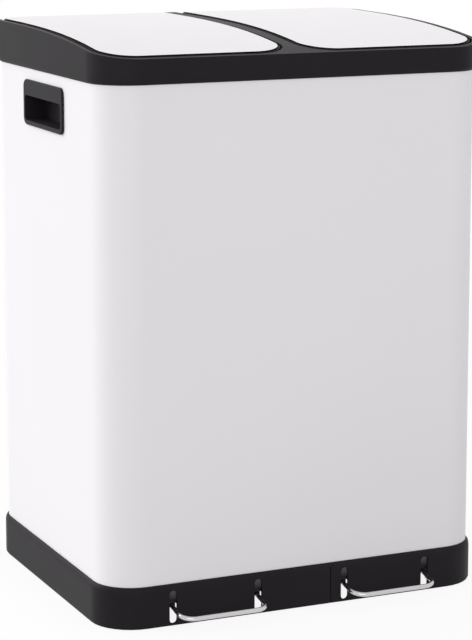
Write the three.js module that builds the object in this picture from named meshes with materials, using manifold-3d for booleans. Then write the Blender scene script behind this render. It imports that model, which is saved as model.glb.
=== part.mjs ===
// Double recycling bin: a painted steel body on a black plastic base, two lids in a black frame, and behind each
// lid a pedal, a lever and a lift rod. Millimetres, +Z up, the front is -Y. Everything is drawn about the middle of
// the body and then moved, so that the origin is on the floor in the middle of the footprint, pedals included.
import * as THREE from 'three';
import { mergeVertices } from 'three/addons/utils/BufferGeometryUtils.js';
import Module from 'manifold-3d';

const wasm = await Module();
wasm.setup();

// ---- Driving dimensions ------------------------------------------------------------------------------------

const GAP = 0.3;                    // between pieces that touch
const PAST = 1;                     // how far a cutting body runs past what it cuts
const FAR = 50;                     // well past anything near the lids
const CORNER_STEPS = 8;             // facets of a quarter turn on the big outlines
const SMALL_STEPS = 3;              // facets of a quarter turn on small parts
const SHOULDER_STEPS = 5;           // facets of the rounded edges of base and lid frame
const ROUND_SIDES = 12;             // sides of pins, rods and wires

// Body: a rolled steel sleeve.
const BODY_W = 462;
const BODY_D = 372;
const BODY_R = 45;
const SHELL_WALL = 0.6;

// Base moulding.
const TRIM_PROUD = 4;               // how far base and lid frame stand out from the body
const EDGE_LAND = 0.5;              // flat left on their rounded edges
const BASE_LIFT = 1;                // the base's lower edge above the floor: the feet carry it
const BASE_CHAMFER = 1;
const BASE_CHAMFER_H = 2;
const BASE_TOP_Z = 48;
const BASE_SHOULDER = 8;            // height of the rounded upper edge
const BASE_WALL = 3;
const GROOVE_FLOOR_Z = 27.5;        // the body stands on it
const GROOVE_SKIN = 2.5;
const DECK_TOP_Z = 46;
const DECK_SKIN = 3;
const DECK_RIB = 7;                 // depth of the ribs under the deck
const DECK_RIB_W = 2.5;
const DECK_RIB_FROM_MIDDLE = 12;
const DECK_RIBS_FROM_SIDE = [49, 31];
const COLLAR_H = 8;                 // guide round each lift rod
const COLLAR_WALL = 2.5;
const FOOT_INSET_X = 45;
const FOOT_INSET_Y = 40;
const FOOT_R = 10;
const FOOT_H = 3.2;
const FOOT_STEM_R = 4;
const FOOT_STEM_H = 9;
const FOOT_BOSS_WALL = 1;           // how far its boss stands out round a foot
const PANEL_SEAM_X = 36;            // fine groove round the front's right-hand panel
const PANEL_SEAM_W = 0.9;
const PANEL_SEAM_DEPTH = 1.6;
const PANEL_SEAM_R = 4.5;
const PANEL_SEAM_BELOW_TOP = 2.5;

// Lid frame. Its top falls away towards the front as a power curve. Heights are below the top at the back.
const RIM_BACK_Z = 646;
const RIM_H = 48.5;
const RIM_FALL = 19.2;
const RIM_SHOULDER = 8;
const RIM_SKIN = 2.5;
const RIM_SEAT = 3;                 // ledge that sits on the body's upper edge
const RIM_OVER_SHELL = 43;
const TOP_POWER = 3.1;
const TOP_STEPS = 12;
const TOP_CURVE_FROM = 0.6;         // the curve is straight behind this share of the half depth
const LIP = 5.5;                    // frame beside and in front of the lids
const REAR_WALL = 4;
const REAR_WALL_DOWN = 15;          // the wall behind the lids is lower: their rolled edge swings over it
const REAR_CUT_FROM_HINGE = 13.5;
const REAR_CUT_SLOPE = 6;
const BAR_W = 15;                   // bar between the lids
const LEDGE_W = 8;                  // ledge under the lid's skirt
const LEDGE_SKIN = 2.5;
const WELL_FROM_HINGE = 29.5;       // hinge well behind each opening
const WELL_SKIN = 2.5;
const WELL_FLOOR_DOWN = 27.5;

// Lids: a black liner under a painted steel cover.
const LID_RISE = 1;                 // top of the cover above the frame
const LID_GAP = 2.5;
const LID_R = 41;
const LID_HINGE_R = 6;              // corner beside the bar at the hinge
const COVER_SHEET = 1;
const COVER_BORDER = 3;             // liner that shows round the cover
const LINER_SKIN = 2.2;
const LINER_DEPTH = 12;             // from the lid's top to the lower edge of its skirt
const BUMPER_R = 3;
const BUMPER_H = 2.6;

// Hinge of each lid, at the centre of its rolled rear edge.
const ROLL_R = 10;
const ROLL_END = 30;                // degrees above the horizontal where the roll stops
const HINGE_FROM_BAR = 25;          // inner hinge, from the lid's edge
const HINGE_FROM_CORNER = 8;        // outer hinge, from where the rear corner starts
const HINGE_PIN_R = 2.5;
const LUG_R = 6;
const LUG_WRAP = 60;                // degrees below the horizontal that the post stays round, for the lid's roll
const LUG_W = 8;
const EAR_W = 4;
const EAR_PLAY = 0.4;

// Lift mechanism: crank on the lid, rod, lever, pedal.
const CRANK_R = 18;
const CRANK_REST = 38;              // degrees below the horizontal
const LID_OPENS = 80;               // degrees
const CRANK_EAR_R = 4.5;
const CRANK_EAR_W = 3;
const CRANK_EAR_FROM = 160;         // degrees: where its rounded end starts and stops
const CRANK_EAR_TO = 340;
const CRANK_PIN_R = 2.5;
const CRANK_PIN_END = 0.7;          // pin that shows outside the ears
const EYE_W = 4;
const EYE_PLAY = 0.5;
const EYE_RISE_PLAY = 0.9;          // above and below the crank pin
const EYE_RIM = 3.2;
const EYE_NECK_R = 5;
const EYE_NECK = 13;
const EYE_NECK_LAP = 0.6;           // how far the neck reaches up into the eye's plate
const SOCKET_SKIN = 2;              // plastic beyond a rod's end
const ROD_R = 2.5;
const ROD_PLAY = 0.6;
const SADDLE_W = 12;
const SADDLE_H = 14;
const SADDLE_LEGS = 3.5;            // how far its legs reach below the crossbar's axis
const PEDAL_SHARE = 4.4;            // a pedal's middle is this share of the body's width from the middle
const PEDAL_SPACING = 102.5;        // between a pedal's two arms
const WIRE_R = 2.6;
const WIRE_BEND = 15;
const BAR_OUT = 29.4;               // pedal bar's axis in front of the base
const BAR_Z = 15.9;
const KNEE_IN = 18;                 // behind the base's front, where the arms bend down
const KNEE_Z = 24.3;
const SLOT_W = 9;
const SLOT_BOTTOM_Z = 3.4;
const SLOT_TOP_Z = 41;
const SLOT_THROUGH_Z = 29;          // the slot goes right through below this, and is a recess above it
const SLOT_SKIN = 1.2;              // left behind the recess
const STOP_W = 8;
const STOP_LENGTH = 9;
const STOP_H = 2.2;
const AXLE_IN = 104;                // behind the base's front
const AXLE_Z = 32;
const AXLE_R = 3;
const AXLE_END = 1;                 // axle that shows outside its brackets
const TUBE_R = 5.5;
const TUBE_PLAY = 0.4;
const BRACKET_W = 4;
const BRACKET_FROM_ARM = 9;
const BRACKET_R = 8;
const BRACKET_FLARE = 4;            // wider by this, each side, at the deck
const LEVER_R = 2.5;
const LEVER_SPREAD = 60;            // at the tube
const LEVER_DROP = 2;               // its wire meets the tube this far below the axle
const LEVER_END_W = 26;             // at the crossbar
const LEVER_END_LEAD = 0.6;         // crossbar in front of the rod at rest; it swings as far behind it
const LEVER_END_Z = 8;
const LEVER_BEND = 8;

// Side grips.
const GRIP_L = 128;
const GRIP_H = 52;
const GRIP_DOWN = 87;               // its middle below the frame's top at the back
const GRIP_R = 8;
const GRIP_PROUD = 3;
const GRIP_CHAMFER = 1;
const GRIP_DEPTH = 25;
const GRIP_BEZEL = 4;
const GRIP_FLAP = 18;               // height of the lip the fingers hook behind
const GRIP_FLAP_SKIN = 3;
const GRIP_SKIN = 2;

// Buckets.
const BUCKET_WALL = 1.8;
const BUCKET_DOWN = 54;             // its top below the frame's top at the back
const BUCKET_FLANGE = 3;
const BUCKET_FROM_BAR = 13;         // wall nearest the middle, at the top
const BUCKET_FROM_GRIP = 1;
const BUCKET_FRONT_IN = 18;         // from the base's front
const BUCKET_FROM_HINGE = 35.5;
const BUCKET_TAPER_X = 6;           // drawn in at the bottom, each side
const BUCKET_TAPER_Y = 10;
const BUCKET_R = 30;
const BUCKET_FOOT = 4;              // chamfer round its bottom

// ---- Derived places ----------------------------------------------------------------------------------------

const OUTER_W = BODY_W + 2 * TRIM_PROUD;
const OUTER_D = BODY_D + 2 * TRIM_PROUD;
const FRONT_Y = -OUTER_D / 2;
const BACK_Y = OUTER_D / 2;
const BAR_Y = FRONT_Y - BAR_OUT;
const KNEE_Y = FRONT_Y + KNEE_IN;
const AXLE_Y = FRONT_Y + AXLE_IN;
const PEDAL_X = BODY_W / PEDAL_SHARE;
const FOOTPRINT_SHIFT = (BAR_OUT + WIRE_R) / 2;

const SHELL_TOP_Z = RIM_BACK_Z - RIM_OVER_SHELL;
const RIM_BOTTOM_Z = RIM_BACK_Z - RIM_H;
const REAR_WALL_Z = RIM_BACK_Z - REAR_WALL_DOWN;
const WELL_FLOOR_Z = RIM_BACK_Z - WELL_FLOOR_DOWN;
const LID_BACK_Z = RIM_BACK_Z + LID_RISE;
const GRIP_Z = RIM_BACK_Z - GRIP_DOWN;
const BUCKET_TOP_Z = RIM_BACK_Z - BUCKET_DOWN;
const DECK_UNDER_Z = DECK_TOP_Z - DECK_SKIN;

const OPENING = {
  x0: BAR_W / 2,
  x1: OUTER_W / 2 - LIP,
  y0: FRONT_Y + LIP,
  y1: BACK_Y - REAR_WALL,
};
const LID = {
  x0: OPENING.x0 + LID_GAP,
  x1: OPENING.x1 - LID_GAP,
  y0: OPENING.y0 + LID_GAP,
  y1: OPENING.y1 - LID_GAP,
};
const COVER = {
  x0: LID.x0 + COVER_BORDER,
  x1: LID.x1 - COVER_BORDER,
  y0: LID.y0 + COVER_BORDER,
  y1: LID.y1,
};
const HINGE_Y = LID.y1 - ROLL_R;
const HINGE_Z = LID_BACK_Z - ROLL_R;
const HINGE_XS = [LID.x0 + HINGE_FROM_BAR, LID.x1 - LID_R - HINGE_FROM_CORNER];
const LEDGE_DROP = LINER_DEPTH + BUMPER_H + GAP;
const WELL_FRONT_Y = HINGE_Y - WELL_FROM_HINGE;

const rad = THREE.MathUtils.degToRad;
const crankY = (degreesDown) => HINGE_Y - CRANK_R * Math.cos(rad(degreesDown));
const CRANK_Y = crankY(CRANK_REST);
const CRANK_Z = HINGE_Z - CRANK_R * Math.sin(rad(CRANK_REST));
const CRANK_BACK_Y = crankY(LID_OPENS - CRANK_REST);
const CRANK_FRONT_Y = crankY(0);
const ROD_Y = CRANK_Y;
const LEVER_END_Y = ROD_Y - LEVER_END_LEAD;
const ARM_XS = [PEDAL_X - PEDAL_SPACING / 2, PEDAL_X + PEDAL_SPACING / 2];
const BRACKET_XS = [ARM_XS[0] - BRACKET_FROM_ARM, ARM_XS[1] + BRACKET_FROM_ARM];
const EYE_SLOT_R = CRANK_PIN_R + EYE_RISE_PLAY;
const EYE_BOTTOM_Z = CRANK_Z - EYE_SLOT_R - EYE_RIM;
const SADDLE_SEAT_Z = LEVER_END_Z + LEVER_R + 2 * GAP + SOCKET_SKIN;

// The grip's front face in Y and Z, and a bucket's mouth in X and Y.
const GRIP_FACE = {
  x0: -GRIP_L / 2,
  x1: GRIP_L / 2,
  y0: GRIP_Z - GRIP_H / 2,
  y1: GRIP_Z + GRIP_H / 2,
};
const BUCKET_MOUTH = {
  x0: BAR_W / 2 + BUCKET_FROM_BAR,
  x1: BODY_W / 2 + GRIP_PROUD - GRIP_DEPTH - GRIP_SKIN - BUCKET_FROM_GRIP - BUCKET_FLANGE,
  y0: FRONT_Y + BUCKET_FRONT_IN,
  y1: HINGE_Y - BUCKET_FROM_HINGE,
};

// Heights of the frame's and the lids' top at a depth y.
const fall = (y) => Math.max(0, (LID.y1 - y) / (LID.y1 - LID.y0)) ** TOP_POWER;
const rimTop = (y) => RIM_BACK_Z - RIM_FALL * fall(y);
const lidTop = (y) => rimTop(y) + LID_RISE;

// ---- Outlines and solids -----------------------------------------------------------------------------------

const V2 = (x, y) => new THREE.Vector2(x, y);
const V3 = (x, y, z) => new THREE.Vector3(x, y, z);

// An arc's points about (cx, cy), from one angle to another, in degrees.
function arc(cx, cy, r, from, to, steps) {
  const points = [];
  for (let i = 0; i <= steps; i++) {
    const a = rad(from + (to - from) * i / steps);
    points.push(V2(cx + r * Math.cos(a), cy + r * Math.sin(a)));
  }
  return points;
}

// A rectangle with rounded corners; r is one radius, or four from the front right corner round to the left.
function roundedRect({ x0, x1, y0, y1 }, r, steps = CORNER_STEPS) {
  const [a, b, c, d] = Array.isArray(r) ? r : [r, r, r, r];
  return [
    ...arc(x1 - a, y0 + a, a, -90, 0, steps),
    ...arc(x1 - b, y1 - b, b, 0, 90, steps),
    ...arc(x0 + c, y1 - c, c, 90, 180, steps),
    ...arc(x0 + d, y0 + d, d, 180, 270, steps),
  ];
}

// The rectangle grown by d on every side.
const grow = ({ x0, x1, y0, y1 }, d) => ({ x0: x0 - d, x1: x1 + d, y0: y0 - d, y1: y1 + d });

// The body's outline, moved out by d.
function bodyOutline(d) {
  const half = { x0: -BODY_W / 2, x1: BODY_W / 2, y0: -BODY_D / 2, y1: BODY_D / 2 };
  return roundedRect(grow(half, d), BODY_R + d);
}

const circle = (cx, cy, r, sides = ROUND_SIDES) => arc(cx, cy, r, 0, 360, sides).slice(0, -1);

// A closed mesh through rings of equally many points, with both ends capped.
function loft(rings, contour = rings[0].map((p) => V2(p.x, p.y))) {
  const n = rings[0].length;
  const clockwise = THREE.ShapeUtils.isClockWise(contour);
  const faces = THREE.ShapeUtils.triangulateShape(contour, []);
  const caps = faces.map((face) => (clockwise ? face.reverse() : face));
  const index = [];
  for (let r = 0; r < rings.length - 1; r++) {
    for (let i = 0; i < n; i++) {
      const a = r * n + i;
      const b = r * n + (i + 1) % n;
      index.push(a, b, b + n, a, b + n, a + n);
    }
  }
  const top = (rings.length - 1) * n;
  for (const [a, b, c] of caps) {
    index.push(a, c, b, top + a, top + b, top + c);
  }
  const geometry = new THREE.BufferGeometry();
  const points = rings.flat();
  const numbers = points.flatMap((p) => p.toArray());
  geometry.setAttribute('position', new THREE.Float32BufferAttribute(numbers, 3));
  geometry.setIndex(signedVolume(points, index) < 0 ? index.reverse() : index);
  return solid(geometry);
}

function signedVolume(points, index) {
  let sum = 0;
  for (let i = 0; i < index.length; i += 3) {
    const [a, b, c] = [points[index[i]], points[index[i + 1]], points[index[i + 2]]];
    sum += a.dot(b.clone().cross(c));
  }
  return sum / 6;
}

// A three.js geometry as a solid that can be cut and joined.
function solid(geometry) {
  const bare = geometry.clone();
  for (const name of ['normal', 'uv']) bare.deleteAttribute(name);
  const merged = mergeVertices(bare, 1e-5);
  return new wasm.Manifold(new wasm.Mesh({
    numProp: 3,
    vertProperties: new Float32Array(merged.attributes.position.array),
    triVerts: new Uint32Array(merged.index.array),
  }));
}

const join = (...parts) => parts.flat().reduce((a, b) => a.add(b));
const cut = (body, ...tools) => tools.flat().reduce((a, b) => a.subtract(b), body);

// An outline in X and Y, raised from z0 to z1.
const prismZ = (outline, z0, z1) => loft([z0, z1].map((z) => outline.map((p) => V3(p.x, p.y, z))));

// An outline in Y and Z, drawn out from x0 to x1.
const prismX = (outline, x0, x1) => loft([x0, x1].map((x) => outline.map((p) => V3(x, p.x, p.y))), outline);

const box = (x0, x1, y0, y1, z0, z1) => prismZ([V2(x0, y0), V2(x1, y0), V2(x1, y1), V2(x0, y1)], z0, z1);
const rodZ = (x, y, r, z0, z1) => prismZ(circle(x, y, r), z0, z1);
const rodX = (y, z, r, x0, x1) => prismX(circle(y, z, r), x0, x1);

// A top curve moved by d, from behind the back to before the front.
function topLine(curve, d) {
  const line = [V2(BACK_Y + FAR, curve(BACK_Y) + d)];
  for (let i = 0; i <= TOP_STEPS; i++) {
    const y = THREE.MathUtils.lerp(TOP_CURVE_FROM * BACK_Y, FRONT_Y, i / TOP_STEPS);
    line.push(V2(y, curve(y) + d));
  }
  return [...line, V2(FRONT_Y - FAR, curve(FRONT_Y) + d)];
}

// Everything under, or over, that line, across the whole width.
const underCurve = (curve, d) => (
  prismX([V2(BACK_Y + FAR, 0), ...topLine(curve, d), V2(FRONT_Y - FAR, 0)], -OUTER_W, OUTER_W)
);
const overCurve = (curve, d) => prismX([
  V2(BACK_Y + FAR, LID_BACK_Z + FAR),
  ...topLine(curve, d),
  V2(FRONT_Y - FAR, LID_BACK_Z + FAR),
], -OUTER_W, OUTER_W);

// A round wire through points, its corners bent to a radius.
function wire(points, r, bend, sides = ROUND_SIDES) {
  const path = bentPath(points, bend);
  let normal = V3(0, 0, 1);
  const rings = path.map((p, i) => {
    const next = path[Math.min(i + 1, path.length - 1)];
    const t = next.clone().sub(path[Math.max(i - 1, 0)]).normalize();
    normal = normal.clone().addScaledVector(t, -normal.dot(t)).normalize();
    const side = t.clone().cross(normal);
    return circle(0, 0, r, sides).map((c) => (
      p.clone().addScaledVector(normal, c.x).addScaledVector(side, c.y)
    ));
  });
  return loft(rings, circle(0, 0, r, sides));
}

function bentPath(points, bend) {
  const path = [points[0]];
  for (let i = 1; i < points.length - 1; i++) {
    const [a, b, c] = [points[i - 1], points[i], points[i + 1]];
    const u = a.clone().sub(b).normalize();
    const v = c.clone().sub(b).normalize();
    const half = u.angleTo(v) / 2;
    const tangent = bend / Math.tan(half);
    const centre = u.clone().add(v).normalize().multiplyScalar(bend / Math.sin(half)).add(b);
    const from = u.multiplyScalar(tangent).add(b).sub(centre);
    const to = v.multiplyScalar(tangent).add(b).sub(centre);
    const steps = Math.max(1, Math.round((Math.PI - 2 * half) / rad(90) * 2 * SMALL_STEPS));
    for (let s = 0; s <= steps; s++) {
      path.push(from.clone().lerp(to, s / steps).setLength(bend).add(centre));
    }
  }
  return [...path, points.at(-1)];
}

// ---- Base --------------------------------------------------------------------------------------------------

// Levels of a rounded edge: from the full width, in to the body's surface.
function shoulderLevels(z, height) {
  return arc(0, 0, 1, 0, 90, SHOULDER_STEPS).map((p, i) => ({
    d: i < SHOULDER_STEPS ? GAP + (TRIM_PROUD - GAP) * p.x : GAP + EDGE_LAND,
    z: z + height * p.y,
  }));
}

const levelsLoft = (levels) => loft(levels.map(({ d, z }) => bodyOutline(d).map((p) => V3(p.x, p.y, z))));

// An outline in X and Z cut into the front to a depth.
function frontCut(outline, depth) {
  const rings = [FRONT_Y - PAST, FRONT_Y + depth].map((y) => outline.map((p) => V3(p.x, y, p.y)));
  return loft(rings, outline);
}

// The slots that a pedal's arms move in: right through low down, and a recess with a round top above that.
function pedalSlots(side) {
  const r = SLOT_W / 2;
  return ARM_XS.flatMap((armX) => {
    const x = side * armX;
    const foot = arc(x, SLOT_BOTTOM_Z + r, r, 180, 360, 2 * SMALL_STEPS);
    const recess = [...foot, ...arc(x, SLOT_TOP_Z - r, r, 0, 180, 2 * SMALL_STEPS)];
    const through = [...foot, V2(x + r, SLOT_THROUGH_Z), V2(x - r, SLOT_THROUGH_Z)];
    return [
      frontCut(recess, TRIM_PROUD - GAP - SLOT_SKIN),
      frontCut(through, TRIM_PROUD + SHELL_WALL + 2 * GROOVE_SKIN),
    ];
  });
}

// Fine groove up the front and round the upper corner of the right-hand panel.
function panelSeam() {
  const centreX = PANEL_SEAM_X + PANEL_SEAM_R;
  const centreZ = BASE_TOP_Z - PANEL_SEAM_BELOW_TOP - PANEL_SEAM_R;
  const half = PANEL_SEAM_W / 2;
  return frontCut([
    V2(PANEL_SEAM_X - half, 0),
    V2(PANEL_SEAM_X + half, 0),
    ...arc(centreX, centreZ, PANEL_SEAM_R - half, 180, 90, SMALL_STEPS),
    ...arc(centreX, centreZ, PANEL_SEAM_R + half, 90, 180, SMALL_STEPS),
  ], PANEL_SEAM_DEPTH);
}

function footPlaces() {
  const x = OUTER_W / 2 - FOOT_INSET_X;
  const y = OUTER_D / 2 - FOOT_INSET_Y;
  return [['front_left', -x, -y], ['front_right', x, -y], ['rear_left', -x, y], ['rear_right', x, y]];
}

function base() {
  const sleeveInside = -SHELL_WALL - GAP;
  const outer = levelsLoft([
    { d: TRIM_PROUD - BASE_CHAMFER, z: BASE_LIFT },
    { d: TRIM_PROUD, z: BASE_LIFT + BASE_CHAMFER_H },
    ...shoulderLevels(BASE_TOP_Z - BASE_SHOULDER, BASE_SHOULDER),
  ]);
  const groove = cut(
    prismZ(bodyOutline(GAP), GROOVE_FLOOR_Z, BASE_TOP_Z + PAST),
    prismZ(bodyOutline(sleeveInside), GROOVE_FLOOR_Z - PAST, BASE_TOP_Z + 2 * PAST),
  );
  const hollow = join(
    prismZ(bodyOutline(TRIM_PROUD - BASE_WALL), 0, GROOVE_FLOOR_Z - GROOVE_SKIN),
    prismZ(bodyOutline(sleeveInside - GROOVE_SKIN), 0, DECK_UNDER_Z),
  );
  const overDeck = prismZ(bodyOutline(sleeveInside + GAP / 2), DECK_TOP_Z, BASE_TOP_Z + PAST);
  const moulding = join(cut(outer, groove, hollow, overDeck), deckRibs(), footBosses());
  const fitted = join(moulding, [-1, 1].flatMap((side) => [...pedalBrackets(side), rodCollar(side)]));
  return cut(fitted, footHoles(), [-1, 1].flatMap(mechanismHoles), panelSeam());
}

function footHoles() {
  const top = FOOT_H + 2 * GAP + FOOT_STEM_H;
  return footPlaces().map(([, x, y]) => rodZ(x, y, FOOT_STEM_R + GAP, 0, top));
}

// Holes for the lift rod and the axle, and the slots.
function mechanismHoles(side) {
  const collarTop = DECK_TOP_Z + COLLAR_H + PAST;
  return [
    rodZ(side * PEDAL_X, ROD_Y, ROD_R + ROD_PLAY, DECK_UNDER_Z - PAST, collarTop),
    ...BRACKET_XS.map((x) => (
      rodX(AXLE_Y, AXLE_Z, AXLE_R + GAP, side * x - BRACKET_W, side * x + BRACKET_W)
    )),
    ...pedalSlots(side),
  ];
}

function deckRibs() {
  const half = DECK_RIB_W / 2;
  const places = [DECK_RIB_FROM_MIDDLE, ...DECK_RIBS_FROM_SIDE.map((inset) => OUTER_W / 2 - inset)];
  const ribs = places.flatMap((x) => [-x, x]).map((x) => (
    box(x - half, x + half, FRONT_Y, BACK_Y, DECK_UNDER_Z - DECK_RIB, DECK_UNDER_Z + PAST)
  ));
  return join(ribs).intersect(prismZ(bodyOutline(-SHELL_WALL - GROOVE_SKIN), 0, BASE_TOP_Z));
}

function footBosses() {
  return footPlaces().map(([, x, y]) => (
    rodZ(x, y, FOOT_R + FOOT_BOSS_WALL, FOOT_H + GAP, DECK_UNDER_Z + PAST)
  ));
}

// Two ears under the deck that hold a pedal's axle.
function pedalBrackets(side) {
  const flared = BRACKET_R + BRACKET_FLARE;
  const profile = [
    ...arc(AXLE_Y, AXLE_Z, BRACKET_R, 180, 360, 2 * SMALL_STEPS),
    V2(AXLE_Y + flared, DECK_UNDER_Z + PAST),
    V2(AXLE_Y - flared, DECK_UNDER_Z + PAST),
  ];
  return BRACKET_XS.map((x) => prismX(profile, side * x - BRACKET_W / 2, side * x + BRACKET_W / 2));
}

// Guide for the lift rod on the deck.
function rodCollar(side) {
  const r = ROD_R + ROD_PLAY + COLLAR_WALL;
  return rodZ(side * PEDAL_X, ROD_Y, r, DECK_TOP_Z - PAST, DECK_TOP_Z + COLLAR_H);
}

// Rubber foot: a pad with a stem that plugs into its boss.
function foot(x, y) {
  return join(
    rodZ(x, y, FOOT_R, 0, FOOT_H),
    rodZ(x, y, FOOT_STEM_R, FOOT_H / 2, FOOT_H + FOOT_STEM_H),
  );
}

// ---- Body --------------------------------------------------------------------------------------------------

function bodyShell() {
  const bottom = GROOVE_FLOOR_Z + GAP;
  const sleeve = cut(
    prismZ(bodyOutline(0), bottom, SHELL_TOP_Z),
    prismZ(bodyOutline(-SHELL_WALL), bottom - PAST, SHELL_TOP_Z + PAST),
  );
  return cut(sleeve, prismX(gripOutline(-GRIP_BEZEL + 2 * GAP), -BODY_W, BODY_W));
}

// ---- Side grips --------------------------------------------------------------------------------------------

// The grip's outline in Y and Z, grown by d. Inside the bezel its corners are only half as much tighter.
const gripOutline = (d) => roundedRect(grow(GRIP_FACE, d), GRIP_R + Math.min(d, 0) / 2, SMALL_STEPS);

// A bezel on the body and a pocket through it; a lip at the top hides the space the fingers hook into.
function sideGrip(side) {
  const bodyX = BODY_W / 2;
  const faceX = bodyX + GRIP_PROUD;
  const backX = faceX - GRIP_DEPTH;
  const along = (outline, from, to) => prismX(outline, side * from, side * to);
  const bezelLevels = [[bodyX + GAP, 0], [faceX - GRIP_CHAMFER, 0], [faceX, -GRIP_CHAMFER]];
  const bezel = loft(
    bezelLevels.map(([x, d]) => gripOutline(d).map((p) => V3(side * x, p.x, p.y))),
    gripOutline(0),
  );
  const pocket = along(gripOutline(-GRIP_BEZEL + GAP), backX - GRIP_SKIN, bodyX + PAST);
  const inside = grow(GRIP_FACE, -GRIP_BEZEL - GRIP_SKIN + 2 * GAP);
  const mouth = { ...inside, y1: GRIP_FACE.y1 - GRIP_FLAP };
  const cornerR = GRIP_R - GRIP_BEZEL;
  return cut(
    join(bezel, pocket),
    along(roundedRect(inside, cornerR, SMALL_STEPS), backX, faceX - GRIP_FLAP_SKIN),
    along(roundedRect(mouth, cornerR, SMALL_STEPS), backX, faceX + PAST),
  );
}

// ---- Lid frame ---------------------------------------------------------------------------------------------

// Mirrors a rectangle of the right side to the left side.
const onSide = ({ x0, x1, y0, y1 }, side) => ({
  x0: Math.min(side * x0, side * x1),
  x1: Math.max(side * x0, side * x1),
  y0,
  y1,
});

// A lid's outline moved out by d: generous corners, but a small one beside the bar at the hinge.
function lidOutline(side, d, rect = LID, r = LID_R) {
  const big = r + d;
  const small = LID_HINGE_R + d;
  return roundedRect(onSide(grow(rect, d), side), side > 0 ? [big, big, small, big] : [big, small, big, big]);
}

function lidFrame() {
  const top = RIM_BACK_Z + PAST;
  const shoulder = shoulderLevels(0, -RIM_SHOULDER).reverse();
  const outer = levelsLoft([
    ...shoulder.map(({ d, z }) => ({ d, z: RIM_BOTTOM_Z + RIM_SHOULDER + z })),
    { d: TRIM_PROUD, z: top },
  ]).intersect(underCurve(rimTop, 0));
  const cavity = prismZ(bodyOutline(GAP), 0, top).intersect(underCurve(rimTop, -RIM_SKIN));
  const seatBottom = SHELL_TOP_Z + GAP;
  const seat = cut(
    prismZ(bodyOutline(2 * GAP), seatBottom, seatBottom + RIM_SEAT),
    prismZ(bodyOutline(-RIM_SEAT), seatBottom - PAST, seatBottom + RIM_SEAT + PAST),
  );
  const sides = [-1, 1];
  const filled = join(cut(outer, cavity), seat, sides.map(openingSurround));
  const open = cut(filled, sides.flatMap(openingCuts), sides.map(rearCut));
  const lugXs = sides.flatMap((side) => HINGE_XS.map((x) => side * x));
  return cut(join(open, lugXs.map(frameLug)), lugXs.map((x) => (
    rodX(HINGE_Y, HINGE_Z, HINGE_PIN_R + GAP, x - LUG_W, x + LUG_W)
  )));
}

// Solid surround of an opening, before the opening, its ledge and its hinge well are cut.
function openingSurround(side) {
  const top = RIM_BACK_Z + PAST;
  const within = prismZ(bodyOutline(TRIM_PROUD), RIM_BOTTOM_Z, top).intersect(underCurve(rimTop, 0));
  const plan = prismZ(lidOutline(side, LID_GAP + RIM_SKIN), RIM_BOTTOM_Z, top);
  const ledge = plan.intersect(overCurve(lidTop, -LEDGE_DROP - LEDGE_SKIN));
  const wellTop = lidTop(WELL_FRONT_Y) - LEDGE_DROP;
  const wellBottom = WELL_FLOOR_Z - WELL_SKIN;
  const well = plan.intersect(
    box(-OUTER_W, OUTER_W, WELL_FRONT_Y, BACK_Y - REAR_WALL / 2, wellBottom, wellTop),
  );
  return join(ledge, well).intersect(within);
}

function openingCuts(side) {
  const high = RIM_BACK_Z + FAR;
  const outline = lidOutline(side, LID_GAP);
  const recess = prismZ(outline, RIM_BOTTOM_Z, high).intersect(overCurve(lidTop, -LEDGE_DROP));
  const well = prismZ(outline, WELL_FLOOR_Z, high).intersect(
    box(-OUTER_W, OUTER_W, WELL_FRONT_Y + WELL_SKIN, BACK_Y, WELL_FLOOR_Z, high),
  );
  const through = grow({ ...OPENING, y1: WELL_FRONT_Y + LEDGE_W }, -LEDGE_W);
  const r = LID_R - LEDGE_W;
  const way = prismZ(roundedRect(onSide(through, side), [r, WELL_SKIN, WELL_SKIN, r]), 0, high);
  const neck = rodZ(side * PEDAL_X, ROD_Y, EYE_NECK_R + EYE_PLAY, 0, WELL_FLOOR_Z + PAST);
  return [recess, way, well, neck];
}

// Lowers the wall behind a lid.
function rearCut(side) {
  const high = RIM_BACK_Z + FAR;
  const startY = HINGE_Y - REAR_CUT_FROM_HINGE;
  const profile = [
    V2(startY, high),
    V2(startY, RIM_BACK_Z),
    V2(startY + REAR_CUT_SLOPE, REAR_WALL_Z),
    V2(BACK_Y + PAST, REAR_WALL_Z),
    V2(BACK_Y + PAST, high),
  ];
  return prismX(profile, side * OPENING.x0, side * OUTER_W);
}

// Post on the well's floor that carries a hinge pin.
function frameLug(x) {
  const foot = WELL_FLOOR_Z - PAST;
  const profile = [
    ...arc(HINGE_Y, HINGE_Z, LUG_R, -LUG_WRAP, 180, 3 * SMALL_STEPS),
    V2(HINGE_Y - LUG_R, foot),
    V2(HINGE_Y + LUG_R * Math.cos(rad(LUG_WRAP)), foot),
  ];
  return prismX(profile, x - LUG_W / 2, x + LUG_W / 2);
}

// ---- Lids --------------------------------------------------------------------------------------------------

// The lid's side view, moved in by d: the top curve, then the roll round the hinge.
function lidProfile(d) {
  const bottom = RIM_BOTTOM_Z;
  const line = [];
  for (let i = 0; i <= TOP_STEPS; i++) {
    const y = THREE.MathUtils.lerp(FRONT_Y, TOP_CURVE_FROM * BACK_Y, i / TOP_STEPS);
    line.push(V2(y, lidTop(y) - d));
  }
  const roll = arc(HINGE_Y, HINGE_Z, ROLL_R - d, 90, 0, 2 * SMALL_STEPS);
  return [...line, ...roll, V2(HINGE_Y + ROLL_R - d, bottom), V2(FRONT_Y, bottom)];
}

// What lies under that side view, and what of it lies within an outline.
const underProfile = (d) => prismX(lidProfile(d), -OUTER_W, OUTER_W);
const lidBody = (outline, d) => (
  prismZ(outline, RIM_BOTTOM_Z - PAST, LID_BACK_Z + PAST).intersect(underProfile(d))
);

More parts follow.
